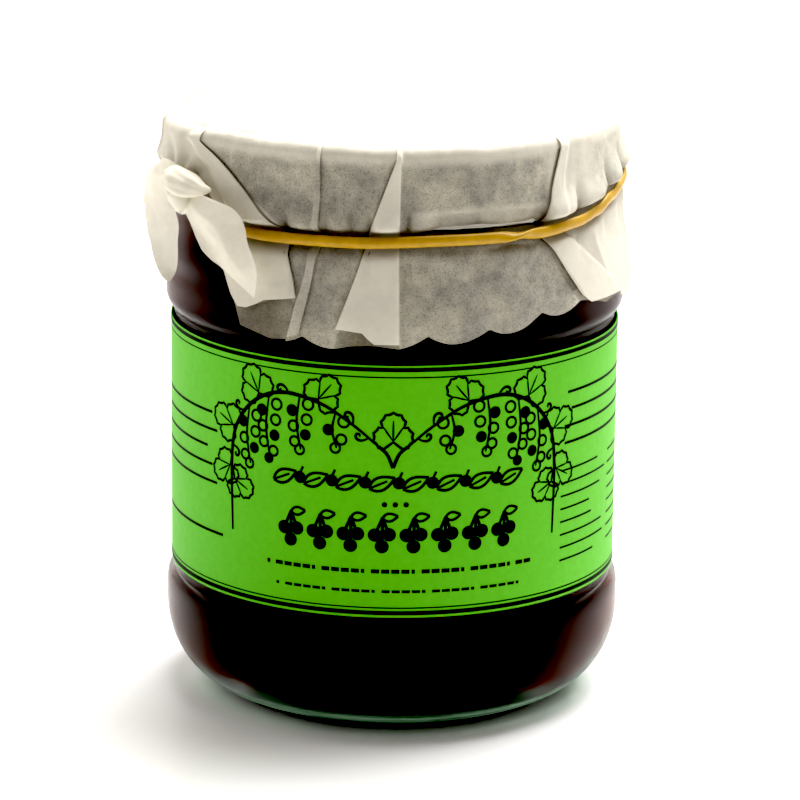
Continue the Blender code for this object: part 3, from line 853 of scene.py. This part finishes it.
def wall_point(share, column):
    """Between the rim and the band: billowed between the pinches, with one long tuck right of the front."""
    angle, turn = column.angle, signed(column.angle)
    start, middle = COVER_TOP - 0.25 - RIM, band_z(column.angle)
    z = start + (middle + 1.0 - start) * share
    up = z - middle - 0.9
    squeeze = 1.0 - 0.6 * (1.0 - smooth(up / 1.6))
    bumps = crumple(angle, z, settings().crumple) + crease(angle, z)
    r = COVER_R + column.layer * LAYER * squeeze + bumps * smooth(up / 2.2)
    tuck = smooth((turn - 4.0) / 8.0) * smooth((42.0 - turn) / 5.0)
    round_out = 1.75 * billow(angle) * smooth(up / 0.9) * math.exp(-((max(0.0, up - 1.2) / 2.7) ** 2))
    r += round_out * (1.0 - 0.85 * tuck)
    r -= tuck * 0.75 * smooth((81.7 - 0.35 * math.sin(angle * 0.2) - z) / 1.2)
    r -= 0.55 * (1.0 - smooth(up / 1.3))
    return around(angle, r + knot_pull(angle, z), z)


def band_point(share, column):
    r = COVER_R - 0.55 + column.layer * LAYER * 0.4
    return around(column.angle, r, band_z(column.angle) - 0.9 * share)


def skirt_point(share, column):
    """Between the band and the hem, flaring out."""
    angle, middle = column.angle, band_z(column.angle)
    z = middle - 1.0 + (hem_z(angle, column.layer, column.pleat) - middle + 1.0) * share
    down = middle - 0.9 - z
    r = COVER_R - 0.55 * (1.0 - smooth(down / 1.5)) + 2.5 * smooth(down / 15.0) ** 0.8
    r += column.layer * LAYER * (0.4 + 0.6 * smooth(down / 2.0)) * (1.0 + 0.5 * share)
    r += (crumple(angle, z, settings().crumple) + crease(angle, z)) * smooth(down / 2.2)
    r += 0.75 * billow(angle) * smooth(down / 1.0) * math.exp(-((max(0.0, down - 1.3) / 3.0) ** 2))
    return around(angle, r, z)


POINT_MAKERS = {"top": top_point, "rim": rim_point, "wall": wall_point, "band": band_point, "skirt": skirt_point}


def folded_or_lit_look(kind, share, column, point):
    """How much the paper there shows as folded: 1 for the layers of a pleat, 0 for one layer over the dark lid."""
    mark, turn, z = column.mark, signed(column.angle), point.z / MM
    if kind == "top":
        # Painted highlight: the middle of the top is made pale as if lit.
        return max(mark * smooth((share - 26.0) / 5.0), 1.0 - smooth((share - 27.0) / 5.0))
    if column.pleat == 1 and z > 79.0:
        mark *= smooth((85.5 - z) / 4.0)
    # Painted highlight: the skirt's flap right of the front is made pale where the key lights it.
    if kind == "skirt" and 48.0 < turn < 100.0:
        mark = max(mark, 0.9 * smooth((100.0 - turn) / 30.0))
    if -100.0 < turn < -24.0 and kind in ("rim", "wall", "band"):
        edge = -53.5 + 25.6 * smooth((88.5 - z) / 11.6)
        mark = max(mark, 0.85 * smooth((edge - turn) / 1.0) * smooth((turn + 92.0) / 10.0))
    # A paler stretch from 40 to 66 degrees above the skirt.
    if kind != "skirt" and 40.0 < turn < 66.0:
        mark = max(mark, 0.8 * smooth((turn - 40.0) / 3.0) * smooth((64.0 - turn) / 8.0))
    if turn > 60.0 or turn < -100.0:
        mark = max(mark, 0.35)
    # Painted highlight: the top of the rim is made pale where it catches the light.
    mark = max(mark, 0.75 * smooth((z - 87.2) / 1.8))
    if kind == "wall" and 4.0 < turn < 42.0:
        mark = max(mark, 0.4 * smooth((81.7 - z) / 0.8))
    return mark


def shading(kind, column, point):
    """How dark the paper is there in the tucks beside a pleat's edge and along the band."""
    if kind == "top":
        return 0.0
    dark = column.dark * (0.0 if kind == "rim" else 0.85)
    gap = point.z / MM - band_z(column.angle)
    if kind in ("wall", "band"):
        pinched = 1.0 - billow(column.angle)
        dark += (0.85 + 0.3 * pinched) * math.exp(-((max(0.0, gap - 0.7) / (0.7 + 1.7 * pinched)) ** 2))
    elif kind == "skirt":
        dark += 0.55 * math.exp(-((max(0.0, -gap - 0.7) / 0.7) ** 2)) + 0.3 * math.exp(-((gap / 3.2) ** 2))
    return min(1.0, dark)


def paint(piece, name, values):
    """Stores one value a point, which the paper's material reads by that name."""
    piece.data.attributes.new(name, "FLOAT", "POINT").data.foreach_set("value", values)


def make_cover():
    rows, marks, painted_shades = [], [], []
    for kind, share, level in cover_rows():
        columns = cover_columns(level)
        points = [POINT_MAKERS[kind](share, column) for column in columns]
        marks += [folded_or_lit_look(kind, share, column, point) for column, point in zip(columns, points)]
        painted_shades += [shading(kind, column, point) for column, point in zip(columns, points)]
        rows.append(points)
    points, faces = grid(rows, True)
    centre = len(points)
    points.append(Vector((0.0, 0.0, COVER_TOP - 0.75)) * MM)
    count = len(rows[0])
    faces += [(centre, (c + 1) % count, c) for c in range(count)]
    cover = mesh_object("cover_sheet", points, faces)
    # The "layers" values also carry the painted highlights on the top, the rim and the right flap.
    paint(cover, "layers", marks + [0.0])
    # The "tuck" values are painted shade.
    paint(cover, "tuck", painted_shades + [0.0])
    place(cover, paper_material(), "tissue_paper", "paper_cover")


# Points of the two edges of each end of the knot, as angle, radius and height.
FRONT_TAIL = (
    ((-55.5, 37.6, 80.2), (-56.1, 38.0, 78.9), (-50.1, 38.4, 75.5), (-46.0, 38.6, 73.4), (-41.3, 38.8, 72.0),
     (-37.0, 38.8, 70.2), (-32.3, 38.6, 68.1)),
    ((-51.5, 37.4, 81.6), (-48.4, 37.8, 81.7), (-43.4, 38.0, 81.4), (-38.5, 38.2, 80.7), (-36.0, 38.4, 79.5),
     (-34.7, 38.6, 77.9), (-33.9, 38.8, 76.0), (-31.6, 39.0, 73.4), (-31.1, 38.9, 71.2), (-32.0, 38.6, 68.0)),
)
BACK_TAIL = (
    ((-59.0, 37.8, 85.0), (-65.5, 38.2, 85.1), (-74.0, 38.2, 82.0), (-79.6, 38.2, 79.0), (-81.8, 38.2, 76.4),
     (-79.8, 38.2, 72.1), (-73.4, 38.2, 69.4), (-66.8, 38.2, 67.2), (-62.8, 38.1, 66.6)),
    ((-59.0, 37.2, 81.6), (-64.6, 37.0, 80.9), (-67.4, 36.7, 79.2), (-65.8, 36.4, 77.0), (-63.8, 36.3, 75.0),
     (-63.6, 36.3, 72.3), (-63.4, 36.3, 69.6), (-63.9, 36.6, 67.6), (-63.2, 37.6, 66.6)),
)
# Points along the knot's two parts, as angle, radius, height, half width and half depth.
KNOT_LOOP = (
    (-62.6, 37.5, 83.2, 0.2, 0.2), (-60.8, 37.9, 83.2, 1.4, 1.4), (-57.0, 38.3, 82.9, 2.1, 2.2),
    (-52.8, 38.3, 82.6, 1.9, 2.0), (-49.3, 38.0, 82.4, 1.2, 1.2), (-46.9, 37.6, 82.5, 0.4, 0.5),
    (-46.2, 37.5, 82.6, 0.1, 0.1),
)
KNOT_GATHER = (
    (-55.4, 37.8, 82.0, 2.4, 1.8), (-56.4, 37.8, 80.7, 2.9, 2.1), (-57.8, 37.5, 79.4, 2.2, 1.8),
    (-58.9, 37.1, 78.4, 1.3, 1.2), (-59.5, 36.8, 77.6, 0.6, 0.6), (-59.7, 36.7, 77.2, 0.1, 0.1),
)


def even_steps(line, count):
    """Points at even distances along the line."""
    line = np.array(line)
    gone = np.concatenate(([0.0], np.cumsum(np.linalg.norm(np.diff(line, axis=0), axis=1))))
    wanted = np.linspace(0.0, gone[-1], count)
    return np.stack([np.interp(wanted, gone, line[:, n]) for n in range(3)], axis=1)


def make_tail(name, edges, camber, seed):
    """One end of the knot: a creased leaf of paper between its two edges."""
    lengthwise, across = 34, 17
    curves = [rounded([tuple(around(*p) * 1000.0) for p in edge], 6) for edge in edges]
    sides = [even_steps(curve, lengthwise) for curve in curves]
    rows = []
    for i in range(lengthwise):
        first, second = Vector(sides[0][i]), Vector(sides[1][i])
        share = i / (lengthwise - 1)
        middle = (first + second) / 2
        out = Vector((middle.x, middle.y, 0.0)).normalized()
        row = []
        for j in range(across):
            t = j / (across - 1)
            ridge = max(0.0, 1.0 - abs(t - 0.42 - 0.14 * math.sin(4.0 * share)) / 0.45)
            body = math.sin(math.pi * min(1.0, share * 1.1 + 0.05))
            ruffle = 0.45 * math.sin(7.0 * share + seed) * (2.0 * t - 1.0) * abs(2.0 * t - 1.0)
            p = first.lerp(second, t)
            folds = 0.5 - abs(noise.noise(p * 0.22 + Vector((seed, 0.0, 0.0))))
            lift = (camber * ridge + ruffle + 0.8 * (folds - 0.3)) * body
            row.append((p + out * lift) * MM)
        rows.append(row)
    points, faces = grid(rows, False)
    tail = mesh_object(name, points, faces)
    paint(tail, "layers", [1.0] * len(points))
    place(tail, bpy.data.objects["cover_sheet"].data.materials[0], "tissue_paper")


def limb(path, folds, seed, steps=48):
    """Rows of points round a folded body along its path."""
    fine = rounded([tuple(around(a, r, z) * 1000.0) + (wide, deep) for a, r, z, wide, deep in path], 7)
    rows = []
    for i, (x, y, z, wide, deep) in enumerate(fine):
        along = Vector(fine[min(i + 1, len(fine) - 1)][:3]) - Vector(fine[max(i - 1, 0)][:3])
        out = Vector((x, y, 0.0)).normalized()
        side = along.cross(out).normalized()
        row = []
        for k in range(steps):
            turn = math.tau * k / steps
            swell = 1.0 + folds * (abs(math.sin(3.0 * turn + seed + 0.05 * i)) - 0.6)
            p = Vector((x, y, z)) + side * wide * swell * math.cos(turn) + out * deep * swell * math.sin(turn)
            p += out * 0.25 * noise.noise(p * 0.5)
            row.append(p * MM)
        rows.append(row)
    return rows


def make_knot():
    """The knot: a folded loop, pointed to the right, over the gathered end of the paper."""
    points, faces = grid(limb(KNOT_LOOP, 0.1, 1.2), True)
    more_points, more_faces = grid(limb(KNOT_GATHER, 0.3, 0.4), True)
    faces += [tuple(corner + len(points) for corner in face) for face in more_faces]
    knot = mesh_object("knot", points + more_points, faces)
    paint(knot, "layers", [1.0] * len(knot.data.vertices))
    place(knot, bpy.data.objects["cover_sheet"].data.materials[0], "tissue_paper")
    make_tail("front_tail", FRONT_TAIL, 1.2, 0.6)
    make_tail("back_tail", BACK_TAIL, 0.3, 2.0)


def rubber_material():
    material, shader = new_material("yellow_rubber")
    tree = material.node_tree
    grain = noise_at(tree, tree.nodes.new("ShaderNodeTexCoord"), Scale=700.0, Detail=4.0)
    yellow = settings().band_colour
    tree.links.new(ramp(tree, grain, [(0.3, dimmed(yellow, 0.8)), (0.7, yellow)]), shader.inputs["Base Color"])
    shader.inputs["Roughness"].default_value = 0.42
    shader.inputs["Subsurface Weight"].default_value = 0.15
    shader.inputs["Subsurface Radius"].default_value = (0.001, 0.0007, 0.0002)
    return material


def make_band():
    """The stretched band along its path, with a half twist right of the front."""
    steps = 240
    rows = []
    for i in range(steps + 1):
        angle = 360.0 * i / steps
        z = band_z(angle)
        twist = math.pi * smooth((angle - 24.0) / 14.0)
        row = []
        for k in range(12):
            t = math.tau * k / 12
            across, tall = BAND_HALF_WIDE * math.cos(t), BAND_HALF_TALL * math.sin(t)
            a = across * math.cos(twist) - tall * math.sin(twist)
            b = across * math.sin(twist) + tall * math.cos(twist)
            row.append(around(angle, BAND_R + a, z + b))
        rows.append(row)
    points, faces = grid(rows, True)
    band = mesh_object("elastic_band", points, faces, 60.0)
    place(band, rubber_material(), "yellow_rubber", "rubber_band")


def make_floor():
    floor = mesh_object("floor", [(-3, -2, 0), (3, -2, 0), (3, 4, 0), (-3, 4, 0)], [(0, 1, 2, 3)])
    material, shader = new_material("white_floor")
    shader.inputs["Base Color"].default_value = (0.93, 0.92, 0.92, 1.0)
    shader.inputs["Roughness"].default_value = 0.35
    floor.data.materials.append(material)


def make_lights():
    """A bright studio behind the jar that is dim in front, a key lamp above and a weak one at the left."""
    s = settings()
    world = bpy.data.worlds.new("studio")
    bpy.context.scene.world = world
    world.use_nodes = True
    tree = world.node_tree
    background = tree.nodes["Background"]
    place_in = tree.nodes.new("ShaderNodeTexCoord")
    split = tree.nodes.new("ShaderNodeSeparateXYZ")
    tree.links.new(place_in.outputs["Generated"], split.inputs[0])
    strength = stretched(tree, split.outputs["Y"], s.front_light, s.back_light, -0.9, 0.35)
    tree.links.new(strength, background.inputs["Strength"])
    background.inputs["Color"].default_value = (1.0, 0.95, 0.9, 1.0)
    lamps = (("key", (0.13, 0.17, 0.53), 0.42, s.key_power), ("side", (-0.45, 0.05, 0.2), 0.3, s.side_power))
    for name, where, size, power in lamps:
        light = bpy.data.lights.new(name, "AREA")
        light.size = size
        light.energy = power
        lamp = bpy.data.objects.new(name, light)
        bpy.context.scene.collection.objects.link(lamp)
        lamp.location = where
        lamp.rotation_euler = (Vector((0.0, 0.0, 0.05)) - lamp.location).to_track_quat("-Z", "Y").to_euler()


def make_camera():
    scene = bpy.context.scene
    camera = bpy.data.cameras.new("camera")
    camera.sensor_width = 36.0
    camera.lens = CAMERA_LENS
    camera.shift_x, camera.shift_y = CAMERA_SHIFT
    camera.clip_start = 0.01
    camera.clip_end = 20.0
    viewer = bpy.data.objects.new("camera", camera)
    scene.collection.objects.link(viewer)
    target = jar_axis() + Vector((0.0, 0.0, 0.045))
    rise = math.radians(CAMERA_RISE)
    viewer.location = target + Vector((0.0, -math.cos(rise), math.sin(rise))) * CAMERA_AWAY
    viewer.rotation_euler = (target - viewer.location).to_track_quat("-Z", "Y").to_euler()
    viewer.rotation_euler.rotate_axis("Z", math.radians(settings().camera_roll))
    scene.camera = viewer


def make_stage():
    make_floor()
    make_lights()
    make_camera()
    view = bpy.context.scene.view_settings
    view.view_transform = "Standard"
    view.use_curve_mapping = True
    view.curve_mapping.black_level = (settings().black_level,) * 3
    view.curve_mapping.update()


class JarSettings(bpy.types.PropertyGroup):
    glass_tint: bpy.props.FloatVectorProperty(
        name="Glass tint", description="Colour of the glass",
        size=3, subtype="COLOR", default=(0.9, 0.96, 0.93))
    glass_sheen: bpy.props.FloatVectorProperty(
        name="Glass sheen", description="Tint of the glass reflections",
        size=3, subtype="COLOR", default=(0.19, 0.11, 0.11))
    glass_ior: bpy.props.FloatProperty(
        name="Glass bend", description="How strongly the glass bends and mirrors light", default=1.14, min=1.0,
        max=1.6)
    # The foot's green, which also drives its painted glow.
    foot_tint_and_glow: bpy.props.FloatVectorProperty(
        name="Base tint", description="Colour of the glass in its stippled foot",
        size=3, subtype="COLOR", default=(0.33, 0.56, 0.38))
    jam_deep: bpy.props.FloatVectorProperty(
        name="Jam", description="Colour of the jam seen straight on",
        size=3, subtype="COLOR", default=(0.002, 0.0008, 0.001))
    jam_edge: bpy.props.FloatVectorProperty(
        name="Jam sheen", description="Colour of the sheen at the jam's sides",
        size=3, subtype="COLOR", default=(0.9, 0.12, 0.08))
    label_green: bpy.props.FloatVectorProperty(
        name="Label", description="Colour of the label paper",
        size=3, subtype="COLOR", default=(0.13, 0.5, 0.04))
    paper_thin: bpy.props.FloatVectorProperty(
        name="Single paper", description="Colour of one layer of the cover",
        size=3, subtype="COLOR", default=(0.53, 0.505, 0.425))
    # Also the colour of the painted highlights on the cover's top, rim and right flap.
    paper_thick: bpy.props.FloatVectorProperty(
        name="Folded paper", description="Colour where the cover lies in three layers",
        size=3, subtype="COLOR", default=(0.87, 0.83, 0.71))
    crumple: bpy.props.FloatProperty(
        name="Crumple", description="Height of the crumples in mm", default=0.55, min=0.0, max=2.0)
    band_colour: bpy.props.FloatVectorProperty(
        name="Band", description="Colour of the rubber band",
        size=3, subtype="COLOR", default=(0.52, 0.3, 0.014))
    front_light: bpy.props.FloatProperty(
        name="Front light", description="Brightness of the surroundings in front", default=0.03, min=0.0)
    back_light: bpy.props.FloatProperty(
        name="Back light", description="Brightness of the surroundings behind", default=1.2, min=0.0)
    key_power: bpy.props.FloatProperty(
        name="Key light", description="Power of the key light", default=8.0, min=0.0, unit="POWER")
    side_power: bpy.props.FloatProperty(
        name="Side light", description="Power of the side light", default=0.35, min=0.0, unit="POWER")
    black_level: bpy.props.FloatProperty(
        name="Black level", description="Brightness that the picture shows as black", default=0.045, min=0.0, max=0.2)
    camera_roll: bpy.props.FloatProperty(name="Roll", description="Camera roll in degrees", default=0.6)


def piece_operator(suffix, label, words, maker):
    """An operator class that makes one piece."""
    def execute(self, context):
        maker()
        return {"FINISHED"}
    contents = {
        "__doc__": words,
        "bl_idname": "jamjar." + suffix,
        "bl_label": label,
        "bl_options": {"REGISTER", "UNDO"},
        "execute": execute,
    }
    return type("JAMJAR_OT_" + suffix, (bpy.types.Operator,), contents)


OPERATORS = [
    piece_operator("glass", "Glass jar", "Make the glass jar", make_glass),
    piece_operator("jam", "Jam", "Make the jam in the jar", make_jam),
    piece_operator("lid", "Lid", "Give the hidden lid its finish", make_lid),
    piece_operator("label", "Label", "Make the label", make_label),
    piece_operator("print", "Label print", "Print the label's ornament", make_print),
    piece_operator("cover", "Paper cover", "Make the pleated paper cover", make_cover),
    piece_operator("knot", "Knot", "Make the knot and its two ends", make_knot),
    piece_operator("band", "Rubber band", "Make the rubber band", make_band),
    piece_operator("stage", "Stage", "Set up the floor, lights and camera", make_stage),
]


class JAMJAR_PT_panel(bpy.types.Panel):
    """Settings and steps of the jam jar"""

    bl_label = "Jam jar"
    bl_idname = "JAMJAR_PT_panel"
    bl_space_type = "VIEW_3D"
    bl_region_type = "UI"
    bl_category = "Jam jar"

    def draw(self, context):
        for name in JarSettings.__annotations__:
            self.layout.prop(context.scene.jam_jar, name)
        for operator in OPERATORS:
            self.layout.operator(operator.bl_idname)


CLASSES = [JarSettings, *OPERATORS, JAMJAR_PT_panel]


def register():
    for cls in CLASSES:
        bpy.utils.register_class(cls)
    bpy.types.Scene.jam_jar = bpy.props.PointerProperty(type=JarSettings)


def unregister():
    del bpy.types.Scene.jam_jar
    for cls in reversed(CLASSES):
        bpy.utils.unregister_class(cls)


def main():
    register()
    for operator in OPERATORS:
        getattr(bpy.ops.jamjar, operator.bl_idname.split(".")[1])()


if __name__ == "__main__":
    main()
